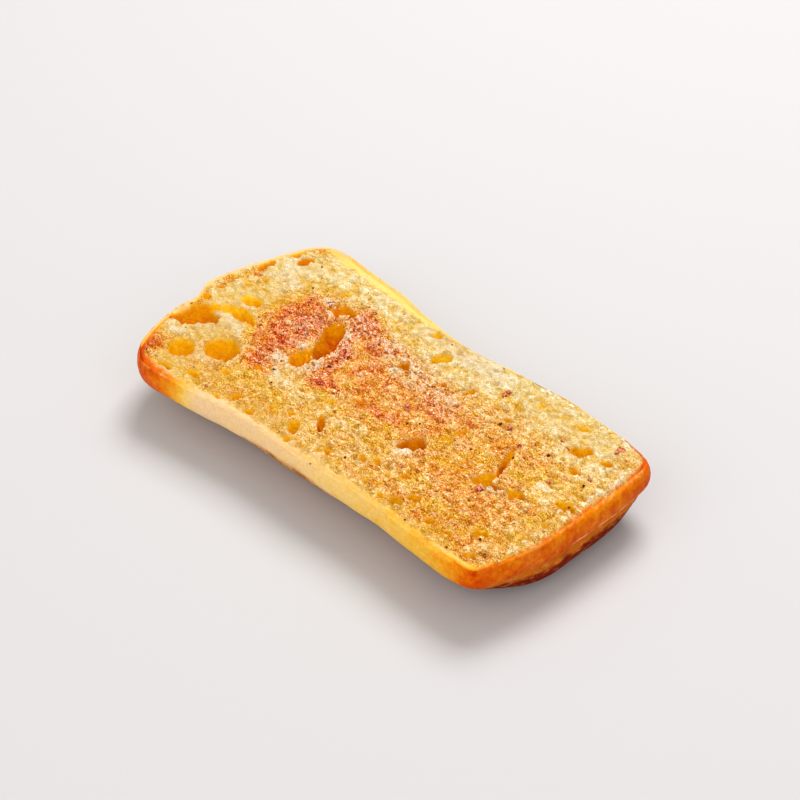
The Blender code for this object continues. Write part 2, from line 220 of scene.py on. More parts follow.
PALE_AND_GLINTS = [
    (-49, -1, 2.6, 2, 20, 1), (-37.6, -6, 3, 5, 20, 0.8), (-50, -12, 4, 5, 30, 0.8),
    (-42, -20, 7, 3, -30, 0.7), (-57, 20, 2, 2, 0, 0.8), (-64, 25, 3.4, 2, 0, 0.9),
    (-42.4, 15, 2, 3.4, 30, 0.8), (-15, 14.5, 3, 1.6, 0, 0.9), (-9, 20, 7, 4, 0, 0.4),
    (-5, 14, 5, 2.5, 0, 0.5), (14, 17, 4, 1.6, 0, 0.7), (-80, -11, 8, 1.7, -8, 1),
    (-72, -14, 4, 2, -40, 0.8), (23, -16, 4, 2, 30, 0.8), (60, -7, 5, 1.6, 20, 0.8),
    (72, 7, 4, 2, 0, 0.8), (-89, -29.5, 6, 3, 35, 0.9), (-84, -45.5, 5, 2.4, 0, 0.5),
    (-72, -34, 8, 3, 10, 0.5), (-82, -1.5, 7, 1.2, -4, 0.7), (88, 18, 3, 14, 0, 0.5),
    (-12, 40, 40, 6, 0, 0.46), (-88, 30, 9, 14, 0, 0.68), (66, 46, 16, 4, 0, 0.2),
    (8, 41, 15, 6, 0, 0.88), (-80, 20, 10, 10, 0, 0.48), (88.5, -14, 1.8, 20, 0, 0.5),
    (87.5, 36, 2.4, 10, 0, 0.5), (0, -40, 34, 6, 0, 0.24),
]

# Where butter has soaked in, a clearer yellow.
GOLDEN = [
    (-58, 48.6, 18, 3, 0, 1), (-34, 45.5, 10, 3, 0, 0.8), (-80, 26.5, 6, 2.4, 5, 1),
    (-70, 31, 5, 3, 0, 1), (-65, 28, 4, 3, 0, 0.9), (-63, 36, 2.4, 4.5, 0, 0.8),
    (-91, 17, 4, 3, 0, 0.7), (-94, 9, 3, 3, 0, 0.7), (-74, 11, 5, 7, 0, 0.9),
    (-84, 10, 5, 2.4, 0, 0.6), (-70, -9, 7, 4, -30, 0.8), (-86, -27, 5, 3, 0, 0.5),
    (-54, -35, 7, 6, 20, 0.8), (-65, -44, 7, 4, 0, 0.7), (-50, -27, 7, 5, 0, 0.6),
    (-76, -46, 8, 3, 0, 0.6), (-29, 35.5, 3, 3, 0, 0.9), (-18, 42, 5, 2.4, 0, 0.7),
    (-6, 42, 5, 2.4, 0, 0.7), (-21, 30.5, 5, 2.4, 0, 0.8), (-1, 31, 4, 2.4, 0, 0.8),
    (5, 41, 4, 2, 0, 0.6), (-38, 33, 4, 3, 0, 0.7), (38, 42, 4, 2.4, 0, 0.9),
    (58, 43, 5, 2.4, 0, 0.9), (68, 46, 4, 2.4, 0, 0.8), (30, 34, 5, 3, 0, 0.8),
    (47, 41, 4, 2, 0, 0.6), (72, 30, 4, 4, 0, 0.6), (86, -18, 4, 4, 0, 0.9),
    (74, -25, 6, 4, 20, 0.9), (62, -36, 9, 4, 0, 0.9), (35, -24, 6, 3.4, 20, 0.9),
    (52, -27, 6, 4, 0, 0.7), (84, -6, 4, 5, 0, 0.7), (45, 3, 7, 5, 0, 0.7), (64, 8, 8, 5, 0, 0.8),
    (76, 14, 6, 5, 0, 0.7), (-20, -16, 7, 5, 0, 0.8), (-33, -28, 7, 5, 0, 0.7),
    (12, -22, 6, 4, 0, 0.6), (28, 2, 4, 6, 0, 0.9), (10, -12, 8, 4, 0, 0.7),
    (40, -8, 8, 4, 0, 0.7),
]

# Where pale shreds of torn crumb lie.
SHREDDED = [
    (-8, 20, 19, 6.5, -8, 1), (-38, 8, 4, 12, 20, 0.9), (-46, 24, 7, 9, 0, 0.6),
    (-56, 10, 6, 13, 10, 0.42), (-62, 26, 5, 3, 0, 0.8), (-38, -8, 5, 6, 0, 0.7),
    (-29, 23, 9, 4, 0, 0.7), (60, -6, 6, 2, 0, 0.6), (14, 14, 9, 4, 0, 0.5),
    (-50, -13, 6, 5, 20, 0.6), (0, 0, 90, 34, 0, 0.03),
]

# Where the crumb is soft and closed; its colour there is also dulled and darkened, partly its own
# olive tone and partly painted shade.
SOFT = [
    (-84, -18, 16, 14, 0, 1), (-82, -36, 13, 9, 10, 1), (-88, 2, 12, 10, 0, 0.8),
    (-66, -38, 22, 10, 0, 0.9), (-12, 41, 36, 5, 0, 0.8), (-25, -42, 40, 5, 0, 0.82),
    (-30, -34, 14, 8, 0, 0.4), (4, -38, 16, 6, 0, 0.5), (-84, 34, 14, 9, 0, 0.4),
    (-78, 8, 10, 18, 0, 0.4), (60, -40, 30, 4, 0, 0.5), (-49, -12, 6, 7, 0, 0.6),
    (-86, 30, 12, 16, 0, 0.6), (62, 41, 26, 7, 0, 0.5),
]

# Where the crumb is torn most.
CRAGGY = [
    (62, -10, 42, 42, 0, 1), (-50, 18, 22, 18, 0, 0.9), (-8, 16, 34, 9, 0, 0.8),
    (20, -4, 14, 12, 0, 0.6),
]


def painted(red, green, blue):
    """A colour as the eye reads it, 0 to 255, made linear."""
    return tuple(
        c / 12.92 if c <= 0.04045 else ((c + 0.055) / 1.055) ** 2.4
        for c in (red / 255, green / 255, blue / 255)
    ) + (1.0,)


def shades(*rows):
    """The stops of a colour ramp, from rows of position, red, green and blue."""
    return [(position, painted(*color)) for position, *color in rows]


# Colours of the crumb from unbrowned 0 to dark 1: on its crests, its even parts and its pits. The
# browning along each ramp is the crumb's own; the crests' lighter colours are painted highlight
# and the pits' darker ones painted shade.
CREST_HIGHLIGHT_COLORS = shades(
    (0, 253, 243, 206), (0.3, 251, 210, 140), (0.6, 250, 180, 94), (1, 243, 152, 106)
)
EVEN_COLORS = shades(
    (0, 249, 226, 160), (0.3, 238, 184, 80), (0.6, 238, 146, 26), (1, 220, 84, 20)
)
PIT_SHADE_COLORS = shades(
    (0, 240, 198, 92), (0.3, 216, 146, 20), (0.6, 198, 86, 6), (1, 98, 8, 8)
)

# Colours that lie over those of the crumb.
BUTTER_YELLOW = painted(240, 186, 40)
DRY_CREAM = painted(251, 224, 176)
ROSY_BROWN = painted(248, 168, 104)
# White of the pale crumb, which also serves as painted highlight.
PALE_AND_GLINT_WHITE = painted(254, 240, 208)
# Darker olive laid over the calm crumb: partly its own tone, partly painted shade.
SHADED_CALM_CRUMB = painted(210, 170, 90)
PALE_SHRED = painted(254, 230, 208)
DARK_SHRED = painted(150, 62, 24)

# Colours inside the bubbles from yellow 0 to brown 1, browner also as painted shade where deep,
# and of the crust from pale 0 to dark 1.
HOLLOW_COLORS = shades(
    (0, 246, 200, 40), (0.3, 236, 166, 4), (0.65, 224, 128, 0), (1, 190, 78, 0)
)
CRUST_COLORS = shades(
    (0, 243, 204, 154), (0.2, 248, 206, 118), (0.42, 247, 188, 60),
    (0.62, 240, 148, 12), (0.8, 226, 104, 0), (1, 196, 56, 0),
)
CRUST_YELLOW = painted(246, 214, 116)
# Pale crust of the end wall's crease, partly a painted highlight along its lip.
CREASE_CREAM_AND_HIGHLIGHT = painted(254, 202, 146)

# Colours of the underside: brown where it is scorched, tan elsewhere, with flour on both.
BASE_BROWN = painted(214, 112, 24)
BASE_SCORCH = painted(126, 26, 2)
BROWN_FLOUR = painted(238, 176, 108)
BASE_TAN = painted(206, 142, 78)
TAN_SHADOW = painted(152, 78, 28)
TAN_FLOUR = painted(240, 206, 150)


def smoothstep(low, high, value):
    """Rises softly from 0 at low to 1 at high, or falls where low is the larger."""
    t = np.clip((value - low) / (high - low), 0, 1)
    return t * t * (3 - 2 * t)


def noise_at(points, size, seed):
    """Smooth noise from -1 to 1 at each point, with features of the given size."""
    shift = Vector((seed * 17.3, seed * 9.1, seed * 5.7))
    return np.array([noise.noise(Vector(point) / size + shift) for point in points])


def closed_curve(stations, steps):
    """A smooth closed curve through the stations (Catmull-Rom), steps points to a span."""
    here = np.array(stations, float)[:, None, :]
    before, after, further = (np.roll(here, shift, axis=0) for shift in (1, -1, -2))
    t = (np.arange(steps) / steps)[None, :, None]
    curve = 0.5 * (
        2 * here
        + (after - before) * t
        + (2 * before - 5 * here + 4 * after - further) * t**2
        + (3 * here - before - 3 * after + further) * t**3
    )
    return curve.reshape(-1, here.shape[2])


class Rim:
    """The closed rim of the cut face, read by side and by share of that side's length."""

    def __init__(self, sides, steps):
        points = closed_curve([station for side in sides for station in side], steps)
        along = np.roll(points[:, :2], -1, axis=0) - np.roll(points[:, :2], 1, axis=0)
        along /= np.linalg.norm(along, axis=1)[:, None]
        outward = np.stack([along[:, 1], -along[:, 0]], axis=1)
        self.rows = np.hstack([points, outward])
        self.corners = np.cumsum([0] + [len(side) * steps for side in sides])

    def at(self, side, share):
        """x, y, bulge, fullness, height, bake, skin and the outward direction's x and y."""
        first, last = self.corners[side], self.corners[side + 1]
        rows = self.rows[np.arange(first, last + 1) % len(self.rows)]
        lengths = np.linalg.norm(np.diff(rows[:, :2], axis=0), axis=1)
        reached = np.concatenate([[0], np.cumsum(lengths)])
        wanted = share * reached[-1]
        return np.stack([np.interp(wanted, reached, column) for column in rows.T], axis=-1)

    def nearest(self, u, v):
        """Distance to the rim and the rim's values there, for points of the cut face."""
        reach = np.stack([
            v * CUT_WIDTH, (1 - u) * CUT_LENGTH, (1 - v) * CUT_WIDTH, u * CUT_LENGTH
        ])
        share = (u, v, 1 - u, 1 - v)
        side = reach.argmin(axis=0)
        rows = np.zeros((len(u), self.rows.shape[1]))
        for k in range(4):
            rows[side == k] = self.at(k, share[k][side == k])
        return reach.min(axis=0), rows


def smooth_profile(rows):
    """The ring-by-ring wall read as a smooth line from the rim down."""
    ends = [rows[0]] + list(rows) + [rows[-1], rows[-1]]
    count = (len(rows) - 1) * RING_STEPS + 1
    return closed_curve(ends, RING_STEPS)[RING_STEPS:RING_STEPS + count]


PROFILES = smooth_profile(SIDE_WALL), smooth_profile(END_WALL)


def wall_points(rim, side, share, level):
    """Points of the wall: level 1 is the rim and level 0 the edge of the underside."""
    columns = rim.at(side, share).T
    x, y, bulge, fullness, height = columns[:5]
    out_x, out_y = columns[7:]
    steps = np.linspace(1, 0, len(PROFILES[0]))[::-1]
    low_wall, full_wall = (
        [np.interp(1 - level, steps, column) for column in profile.T] for profile in PROFILES
    )
    share_of_bulge, inset, depth = (
        low + (full - low) * fullness for low, full in zip(low_wall, full_wall)
    )
    out = bulge * share_of_bulge - inset
    return np.stack([x + out_x * out, y + out_y * out, THICKNESS - depth * height], axis=-1)


def blend_borders(rim, u, v, level):
    """The surface spanned by the four sides of one ring (a Coons patch), u and v from 0 to 1."""
    zero, one = np.zeros_like(u), np.ones_like(u)
    near, right = wall_points(rim, 0, u, level), wall_points(rim, 1, v, level)
    far, left = wall_points(rim, 2, 1 - u, level), wall_points(rim, 3, 1 - v, level)
    near_left, near_right = wall_points(rim, 0, zero, level), wall_points(rim, 1, zero, level)
    far_right, far_left = wall_points(rim, 2, zero, level), wall_points(rim, 2, one, level)
    u, v = u[:, None], v[:, None]
    across = (1 - v) * near + v * far
    along = (1 - u) * left + u * right
    twice = (1 - v) * ((1 - u) * near_left + u * near_right) + v * (
        (1 - u) * far_left + u * far_right
    )
    return across + along - twice


def zone(x, y, patches):
    """How strongly the listed patches cover each point; overlapping ones add up softly."""
    clear = np.ones_like(x)
    for cx, cy, along, across, turn, strength in patches:
        a, b = turned(x - cx, y - cy, turn)
        clear *= 1 - strength * np.exp(-((a / along) ** 2 + (b / across) ** 2))
    return 1 - clear


def turned(dx, dy, degrees):
    """Offsets read along and across an axis that is turned by the given angle."""
    cos, sin = math.cos(math.radians(degrees)), math.sin(math.radians(degrees))
    return dx * cos + dy * sin, dy * cos - dx * sin


class CutFace:
    """The crumb of the cut face: how far each point is sunk and moved, and how it is coloured."""

    def __init__(self, points):
        self.start = points
        self.x, self.y = points[:, 0], points[:, 1]
        drawn_out = points * (0.65, 1, 1)
        self.rag = noise_at(drawn_out, 2.4, seed=11)
        self.nick = noise_at(drawn_out, 1.1, seed=12)
        self.warp_x = noise_at(points, 6.5, seed=17)
        self.warp_y = noise_at(points, 6.5, seed=18)
        self.sink, self.lift, self.pore = np.zeros((3, len(points)))
        self.open, self.shade, self.warmth = np.zeros((3, len(points)))
        self.shift = np.zeros((len(points), 2))
        self.order = np.argsort(self.x)
        self.sorted_x = self.x[self.order]

    def near(self, x, reach):
        """The points whose x is within reach."""
        low, high = np.searchsorted(self.sorted_x, (x - reach, x + reach))
        return self.order[low:high]

    def outline(self, index, x, y, length, width, turn):
        """How far out each point is, 1 at the ragged edge, and how much on the near side."""
        bend = WANDER * min(width, WANDER_WIDTH)
        dx = self.x[index] - x + bend * self.warp_x[index]
        dy = self.y[index] - y + bend * self.warp_y[index]
        a, b = turned(dx, dy, turn)
        reach = np.hypot(a * 2 / length, b * 2 / width)
        toward = (dx * LEAN[0] + dy * LEAN[1]) / np.maximum(np.hypot(dx, dy), 0.01)
        ragged = min(MOST_FRAY, FRAY / width) * (0.6 + 0.4 * toward)
        reach *= 1 + ragged * self.rag[index] + 0.7 * ragged * self.nick[index]
        return reach, 0.5 + 0.5 * toward

    def open_bubble(self, x, y, length, width, turn, depth, warmth):
        """Opens one bubble: a long soft wall at its far side, a ragged lip at its near side."""
        index = self.near(x, length * 0.8)
        reach, nearness = self.outline(index, x, y, length, width, turn)
        lip = np.exp(-(((reach - 1.06) * width / LIP_WIDTH) ** 2)) * nearness
        self.lift[index] = np.maximum(self.lift[index], LIP_RISE * depth * lip)
        inside = reach < 1
        index, reach, nearness = index[inside], reach[inside], nearness[inside]
        near_wall = 1 - reach**3
        far_wall = (1 - reach) ** 1.4 * (1 + 0.9 * reach)
        sink = depth * (far_wall + (near_wall - far_wall) * nearness)
        full_depth = depth * (0.1 + 0.16 * (1 - nearness)) + 0.4
        open_share = np.clip(sink / full_depth, 0, 1) * min(1, depth / 2.0)
        # Painted shade: the bubble browns with depth, and most towards its near lip, which shades
        # it.
        shade = (0.1 + 0.9 * nearness) * sink / depth
        self.join(index, sink, shade, warmth)
        self.open[index] = np.maximum(self.open[index], open_share)

    def join(self, index, sink, shade, warmth):
        """Sinks the points, and lets the bubble run softly into any that was there before."""
        before = self.sink[index]
        joined = np.clip(1 - np.abs(sink - before) / 4, 0, 1) ** 2
        joined *= np.clip(np.minimum(sink, before) / 1.5, 0, 1)
        weight = np.where(before > 0, np.clip(0.5 + (sink - before) / 5, 0, 1), 1)
        self.warmth[index] += (warmth - self.warmth[index]) * weight
        self.shade[index] += (shade - self.shade[index]) * weight
        self.sink[index] = np.maximum(sink, before) + joined
        self.shift[index] = self.sink[index][:, None] * LEAN_REACH * np.array(LEAN)

    def prick_pore(self, x, y, length, width, turn, depth, warmth):
        """Presses one small plain pore."""
        index = self.near(x, length * 0.7)
        a, b = turned(self.x[index] - x, self.y[index] - y, turn)
        reach = np.hypot(a * 2 / length, b * 2 / width) * (1 + 0.2 * self.nick[index])
        sink = depth * np.clip(1 - reach**2, 0, None) ** 0.75
        deeper = sink > self.sink[index]
        self.sink[index[deeper]] = sink[deeper]
        self.warmth[index[deeper]] = warmth
        self.pore[index[deeper]] = sink[deeper]

    def open_all(self):
        """Opens the bubbles and pits of the tables, then pricks the random pores."""
        for bubble in BUBBLES + PITS:
            self.open_bubble(*bubble)
        for pore in pores(np.random.default_rng(PORE_SEED), PORE_COUNT):
            self.prick_pore(*pore)

    def relief(self, calm):
        """Torn, lumpy relief of the crumb, which is softer where the crumb is calm."""
        torn = 1 - np.abs(noise_at(self.start * (0.6, 1, 1), 3.2, seed=13)) * 2
        clumps = noise_at(self.start, 5.0, seed=16)
        relief = (0.45 * torn + 0.7 * self.nick + 0.85 * self.rag) * (1 - 0.6 * calm)
        return relief + clumps * (0.6 + 0.6 * calm)


def pores(rng, count):
    """Random small pores, more of them fine than wide, over the whole roll."""
    for _ in range(count):
        x, y = (rng.uniform(*stretch) for stretch in PORE_FIELD)
        width = 1.1 + 1.3 * rng.random() ** 5
        length = width * rng.uniform(1.0, 1.9)
        depth = width * rng.uniform(0.25, 0.5)
        yield x, y, length, width, rng.normal(0, 50), depth, rng.uniform(0.0, 0.4)


def slab(length_quads, width_quads, wall_rings, cuts):
    """A unit slab whose cut face and wall are finely divided and whose underside is coarse."""
    bm = bmesh.new()
    bmesh.ops.create_grid(bm, x_segments=length_quads, y_segments=width_quads, size=0.5)
    bmesh.ops.translate(bm, verts=bm.verts[:], vec=(0.5, 0.5, 0))
    raised = bmesh.ops.extrude_face_region(bm, geom=bm.faces[:], use_keep_orig=True)["geom"]
    top = [item for item in raised if isinstance(item, bmesh.types.BMVert)]
    bmesh.ops.translate(bm, verts=top, vec=(0, 0, 1))
    rungs = [edge for edge in bm.edges if abs(edge.verts[0].co.z - edge.verts[1].co.z) > 0.5]
    bmesh.ops.subdivide_edges(bm, edges=rungs, cuts=wall_rings - 1, use_grid_fill=True)
    upper = [face for face in bm.faces if max(vertex.co.z for vertex in face.verts) > 0.001]
    fine = dict.fromkeys(edge for face in upper for edge in face.edges)
    bmesh.ops.subdivide_edges(bm, edges=list(fine), cuts=cuts, use_grid_fill=True)
    bmesh.ops.recalc_face_normals(bm, faces=bm.faces[:])
    return bm


class Roll:
    """The points of the half roll, and the masks that its finish reads at each of them."""

    def __init__(self, box):
        self.u, self.v, self.level = np.clip(box, 0, 1).T
        rim = Rim([RIM_NEAR, RIM_RIGHT, RIM_FAR, RIM_LEFT], RIM_STEPS)
        self.points = blend_borders(rim, self.u, self.v, self.level)
        self.inner = 16 * self.u * (1 - self.u) * self.v * (1 - self.v)
        self.on_cut_face, self.underneath = self.level > 0.999, self.level < 0.001
        self.on_wall = ~self.on_cut_face & ~self.underneath
        self.distance, self.rim_rows = rim.nearest(self.u, self.v)
        self.dents = noise_at(self.points, 21.0, seed=3) + 0.6 * noise_at(self.points, 9.0, seed=4)
        self.masks = {}

    def shape_crust(self):
        """Domes the underside round its flat spot, dents the crust and wrinkles it."""
        points = self.points
        out_x, out_y = self.rim_rows[:, 7:].T
        steepness = 1 - 0.5 * smoothstep(0.75, 1, self.u) * smoothstep(-0.15, 0.35, self.v)
        dome = 1 - np.clip(1 - self.inner**steepness / REST_SHARE, 0, None) ** DOME_POWER
        wrinkles = noise_at(points * (0.35, 1, 1), 3.0, seed=5)
        dented = DENT_DEPTH * self.dents
        points[:, 2] *= np.where(self.underneath, 1 - dome, 1)
        points[:, 2] += np.where(self.underneath, dented * dome * (1 - dome) * 4, 0)
        points[:, 1] += np.where(self.on_wall, dented * np.sign(points[:, 1]), 0)
        rough = smoothstep(0.36, 0.22, self.level)
        wrinkled = np.where(self.on_wall, 0.12 * wrinkles + 0.3 * wrinkles * rough, 0)
        points[:, 0] += out_x * wrinkled
        points[:, 1] += out_y * wrinkled

    def skin_share(self, skin):
        """How much of each point is crust: the wall, and a ragged strip of the cut face."""
        points = self.points
        to_wall = THICKNESS - points[:, 2] + 0.1
        skin_depth = np.where(self.on_cut_face, skin - self.distance, to_wall)
        near_edge = np.abs(skin_depth) < 4
        rag = np.zeros(len(points))
        rag[near_edge] = noise_at(points[near_edge], 1.3, seed=14)
        rag[near_edge] += noise_at(points[near_edge], 4.0, seed=15)
        return smoothstep(-1.5, 1.1, skin_depth + 1.1 * rag)

    def shape_cut_face(self):
        """Opens and tears the crumb, and rounds its edge down to the crust."""
        face = np.flatnonzero(self.on_cut_face)
        crumb = CutFace(self.points[face])
        crumb.open_all()
        swell = 0.7 * noise_at(crumb.start, 34.0, seed=1)
        swell += 0.8 * noise_at(crumb.start, 7.5, seed=2)
        swell *= smoothstep(0, 0.15, self.inner[face])
        calm = zone(crumb.x, crumb.y, SOFT)
        skin = self.rim_rows[:, 6]
        crust = self.skin_share(skin)
        strip = crust[face]
        relief = crumb.relief(calm)
        relief *= (1 - 0.7 * smoothstep(0.4, 1.6, crumb.sink)) * (1 - strip)
        relief *= 1 + 0.4 * zone(crumb.x, crumb.y, CRAGGY)
        distance = self.distance[face]
        rounded = 0.9 * np.clip(1 - distance / 2.2, 0, 1) ** 2
        wide_skin = smoothstep(2.6, 4.5, skin[face])
        rounded += 1.4 * wide_skin * np.clip(1 - distance / 5.5, 0, 1) ** 2
        softness = 1 - 0.7 * strip
        flap = 0.7 * zone(crumb.x, crumb.y, PALE_AND_GLINTS) * smoothstep(1.2, 0.2, crumb.sink)
        raised = swell + (crumb.lift + flap) * (1 - strip) + relief
        self.points[face, 2] += raised - crumb.sink * softness - rounded - 0.3
        self.points[face, :2] += crumb.shift * softness[:, None]
        on_face = {
            # Bubbles are darkened with depth and towards the near lip: painted shade.
            "hollow": crumb.open, "deep": crumb.sink / 10, "shade": crumb.shade,
            # Pores are darkened as painted shade; raised crumb and bubble lips are lightened as
            # painted highlight.
            "pore": crumb.pore, "crest_highlight": relief + 2.0 * crumb.lift, "warmth": crumb.warmth,
            "calm": calm,
        }
        for name, values in on_face.items():
            self.masks[name] = np.zeros(len(self.points))
            self.masks[name][face] = values
        self.masks["skin"] = crust

    def mark_crumb(self):
        """Marks where the crumb is browned, pale, buttery and shredded, and where it carries a
        painted highlight.
        """
        x, y = self.points[:, 0], self.points[:, 1]
        toasted = smoothstep(0.15, 0.85, zone(x, y, TOASTED))
        self.masks["browning"] = 1 - (1 - zone(x, y, BROWNED)) * (1 - 0.9 * toasted)
        for name, patches in (("pale_and_glint", PALE_AND_GLINTS), ("golden", GOLDEN), ("shredded", SHREDDED)):
            self.masks[name] = zone(x, y, patches)

    def mark_crust(self):
        """Marks how far the crust is baked, and where the rough underside and its end begin."""
        x, y = self.points[:, 0], self.points[:, 1]
        fullness, bake = self.rim_rows[:, 3], self.rim_rows[:, 5]
        end_wall = smoothstep(0.25, 0.6, fullness) * self.on_wall
        left_edge = smoothstep(0.06, 0.03, self.u) * smoothstep(0.0, 0.05, self.v)
        left_edge *= smoothstep(1.6, 0.4, self.distance)
        inward = smoothstep(0.2, 2.4, self.distance) * smoothstep(0.85, 0.92, self.u)
        inward *= self.on_cut_face
        low_end = end_wall * (0.42 * (1 - self.level) - 0.12)
        self.masks["bake"] = bake - 0.5 * left_edge + low_end - 0.34 * inward
        peeping = 0.3 * np.exp(-(((x + 8) / 28) ** 2)) * (self.v < 0.3)
        high_base = 0.2 * end_wall * smoothstep(-40, -22, y)
        lowness = self.level - peeping - high_base + 0.06 * self.dents
        self.masks["base"] = np.where(self.underneath, 1, smoothstep(0.32, 0.22, lowness))
        self.masks["end"] = end_wall * smoothstep(-2, 6, y)
        self.masks["scorched"] = smoothstep(0.7, 0.95, self.u)


def bake_bread():
    """The whole half roll as one closed mesh, with the masks that its finish reads."""
    bm = slab(LENGTH_QUADS, WIDTH_QUADS, WALL_RINGS, FINE_CUTS)
    roll = Roll(np.array([vertex.co[:] for vertex in bm.verts]))
    roll.shape_crust()
    roll.shape_cut_face()
    roll.mark_crumb()
    roll.mark_crust()
    roll.points[:, :2] += FOOTPRINT_SHIFT
    points = np.clip(roll.points * MM, *np.array(cad_box))
    for vertex, point in zip(bm.verts, points):
        vertex.co = point
    layers = {name: bm.verts.layers.float.new(name) for name in roll.masks}
    for name, layer in layers.items():
        for vertex, value in zip(bm.verts, roll.masks[name].tolist()):
            vertex[layer] = value
    return finished("bread", bm)


def link(name, data, matrix):
    """Adds an object to the scene, placed by its matrix."""
    item = bpy.data.objects.new(name, data)
    item.matrix_world = matrix
    bpy.context.scene.collection.objects.link(item)
    return item


def finished(name, bm):
    """Makes a piece of a bmesh, smooth shaded."""
    mesh = bpy.data.meshes.new(name)
    bm.to_mesh(mesh)
    bm.free()
    mesh.shade_smooth()
    return link(name, mesh, Matrix())


# Seasoning and flakes that stand out one by one: x, y, width.
PEPPER = [
    (-83, 38.5, 1.9), (-74, 26, 1.5), (-74.5, -1.5, 1.6), (-70, -4.5, 2), (60, 22, 2.1),
    (81, 19, 2), (82, 16.8, 1.6), (76.5, -28.5, 2), (57.5, -16, 1.5), (79, -14, 1.5),
    (35, 22, 2.1), (11, -33.5, 1.8), (4, -44, 1.4), (-45, -19, 2.1), (-27, -22, 1.8),
    (4, 22.4, 1.9), (22.5, -4, 1.5), (11, -2.5, 1.8), (15, 0, 1.2), (-33, -2, 2.1),
    (-48, -13, 1.4), (-41, -24, 1.2), (68, 33, 1.2), (52, 12, 1.4), (51, 4, 1.2),
    (71, -39.5, 1.6), (50.5, -40.5, 1.4), (55, -32.5, 1.4), (66, 47, 1.5), (66.5, 45, 1.2),
    (-38, 41, 1.8), (13, 45.5, 1.5), (-11, 41, 1.4), (38, 4, 1.4), (42, 4.4, 1.2),
    (-89, -42, 1.8), (-88, -46, 1.5), (-77, 33, 1.4), (-60, 35, 1.4), (85, 7.5, 1.4),
]
FLAKES = [
    (76, 43.5, 4), (76.4, 41, 3.2), (71, 11.5, 3.4), (80.5, 22.5, 3.2), (57, -10, 4),
    (24, 36, 4.2), (28, -21.5, 3.6), (-18.5, -10.5, 4), (-19.5, -12, 2.8), (39, 23, 3.6),
    (4, 4, 4), (62, 30, 2.6), (58.5, 31, 2.4), (49, 18, 3), (-96, 16.5, 2.8),
    (-28, -11, 2.8), (-30, -13, 2.4), (10, 11, 2.4), (-22, 21, 2.4), (-45, 32, 2.4),
]


def covered_by(patches):
    """Says of a point how strongly the listed patches cover it."""
    return lambda x, y: float(zone(np.array([x]), np.array([y]), patches)[0])


def scatter(name, tree, rng, spots, flatness, sink):
    """Presses one small lump into the bread at each spot (x, y, width)."""
    bm = bmesh.new()
    lowest = (THICKNESS - DEEPEST_TOPPING) * MM
    for x, y, width in spots:
        above = Vector((x + FOOTPRINT_SHIFT[0], y + FOOTPRINT_SHIFT[1], 60)) * MM
        place, normal = tree.ray_cast(above, Vector((0, 0, -1)))[:2]
        if place is None or normal.z < 0.4 or place.z < lowest:
            continue
        size = Vector((rng.uniform(0.7, 1.2), rng.uniform(0.6, 1.0), flatness)) * width * MM / 2
        turn = normal.to_track_quat("Z", "Y").to_matrix().to_4x4()
        turn @= Matrix.Rotation(rng.uniform(0, math.tau), 4, "Z")
        turn @= Matrix.Rotation(rng.uniform(-0.4, 0.4), 4, "X")
        place -= normal * size.z * sink
        matrix = Matrix.Translation(place) @ turn @ Matrix.Diagonal(size).to_4x4()
        bmesh.ops.create_icosphere(bm, subdivisions=1, radius=1.0, matrix=matrix)
    for vertex in bm.verts:
        vertex.co.z = min(vertex.co.z, cad_box[1].z)
    return finished(name, bm)


def random_spots(rng, count, low, high, wanted):
    """Spots over the cut face; wanted(x, y) is the chance that one stays."""
    for _ in range(count):
        x, y = (rng.uniform(*stretch) for stretch in TOPPING_FIELD)
        width = low + (high - low) * rng.random() ** 2
        if rng.random() < wanted(x, y):
            yield x, y, width


def season(bread):
    """The loose toppings and grains that lie on the cut face, one piece for each kind."""
    tree = BVHTree.FromPolygons(
        [vertex.co for vertex in bread.data.vertices],
        [tuple(face.vertices) for face in bread.data.polygons],
    )
    toasted, shredded = covered_by(TOASTED), covered_by(SHREDDED)
    rng = np.random.default_rng(TOPPING_SEED)
    pepper = PEPPER + list(random_spots(rng, 130, 0.5, 0.9, lambda x, y: 1))
    flakes = FLAKES + list(random_spots(rng, 90, 1.0, 1.8, toasted))
    dark = list(random_spots(rng, 3800, 0.5, 1.2, lambda x, y: toasted(x, y) ** 2))
    pale = list(random_spots(rng, 6400, 0.6, 1.8, shredded))
    # Piece, its spots, flatness, how deep it is pressed in, material and its two colours.
    kinds = [
        ("pepper_specks", pepper, 0.4, 0.4, "pepper_and_herb", (124, 56, 14), (66, 22, 3)),
        ("toasted_flakes", flakes, 0.4, 0.0, "toasted_flake", (240, 156, 112), (136, 38, 14)),
        ("toasted_grains", dark, 0.35, 0.2, "toasted_grain", (172, 56, 18), (108, 20, 6)),
        ("pale_grains", pale, 0.35, 0.2, "pale_grain", (252, 222, 192), (248, 198, 150)),
    ]
    pieces = []
    for name, spots, flatness, sink, material, first, second in kinds:
        piece = scatter(name, tree, rng, spots, flatness, sink)
        piece.data.materials.append(grain_finish(material, painted(*first), painted(*second)))
        pieces.append(piece)
    return pieces


